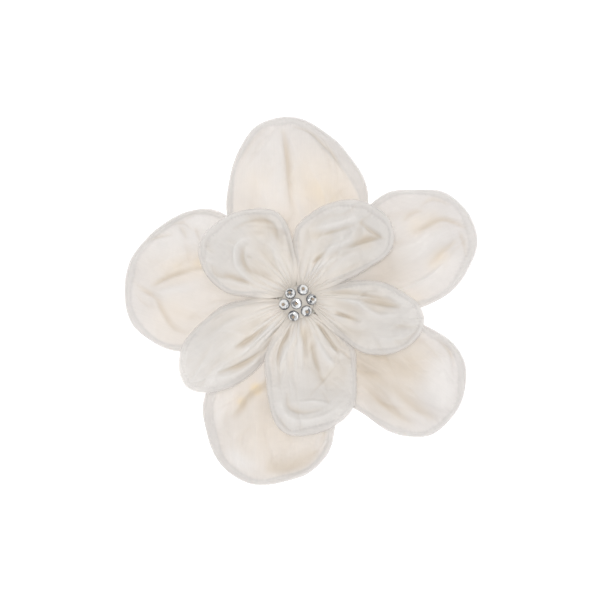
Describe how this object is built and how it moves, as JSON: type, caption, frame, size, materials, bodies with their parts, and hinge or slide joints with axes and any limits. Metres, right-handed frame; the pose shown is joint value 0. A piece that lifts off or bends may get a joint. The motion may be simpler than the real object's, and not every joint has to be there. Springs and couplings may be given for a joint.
{
  "type": "flower hair clip",
  "caption": "Fabric flower hair clip with two rings of gathered petals, a sewn crystal centre, a felt back and a sprung alligator clip that opens.",
  "frame": {"origin": "on the flower's centre line, level with the flat underside of the clip's lower jaw, on which the part rests", "axes": "+Z the way the flower faces, +X the way the clip's jaws point, +Y towards the tip of the tallest outer petal"},
  "size_m": [0.1232, 0.129, 0.0277],
  "materials": {
    "outer_silk": "sheer ivory silk organza in a double layer, soft sheen",
    "inner_silk": "sheer off-white silk organza in a double layer, finely pleated at the neck",
    "crystal": "clear faceted crystal with a silver foil back",
    "thread": "off-white sewing thread",
    "pad_cloth": "off-white silk over a small stuffed button",
    "buckram": "stiffened open-weave cotton",
    "felt": "off-white wool felt",
    "plated_steel": "bright nickel plate on pressed steel, lightly rubbed",
    "pin_steel": "turned steel pin with peened ends",
    "spring_steel": "drawn spring wire"
  },
  "bodies": {
    "flower": {"outer_petal_1": "outer_silk", "outer_petal_2": "outer_silk", "outer_petal_3": "outer_silk", "outer_petal_4": "outer_silk", "outer_petal_5": "outer_silk", "inner_petal_1": "inner_silk", "inner_petal_2": "inner_silk", "inner_petal_3": "inner_silk", "inner_petal_4": "inner_silk", "inner_petal_5": "inner_silk", "crystal_1": "crystal", "crystal_2": "crystal", "crystal_3": "crystal", "crystal_4": "crystal", "crystal_5": "crystal", "crystal_6": "crystal", "crystal_7": "crystal", "crystal_ties": "thread", "bead_pad": "pad_cloth", "outer_gather_thread": "thread", "inner_gather_thread": "thread", "buckram_disc": "buckram", "felt_backing": "felt", "felt_stitches": "thread", "clip_upper_arm": "plated_steel", "clip_hinge_pin": "pin_steel", "clip_spring": "spring_steel", "clip_stitches": "thread"},
    "lower_jaw": {"clip_lower_arm": "plated_steel"}
  },
  "joints": [
    {"name": "jaw_hinge", "type": "hinge", "parent": "flower", "child": "lower_jaw", "pos_m": [-0.006, 0, 0.0044], "axis": [0, 1, 0], "range_deg": [0, 20], "stiffness_Nm_per_rad": 0.1, "springref_deg": -45.84, "deforming": ["clip_spring"]}
  ]
}
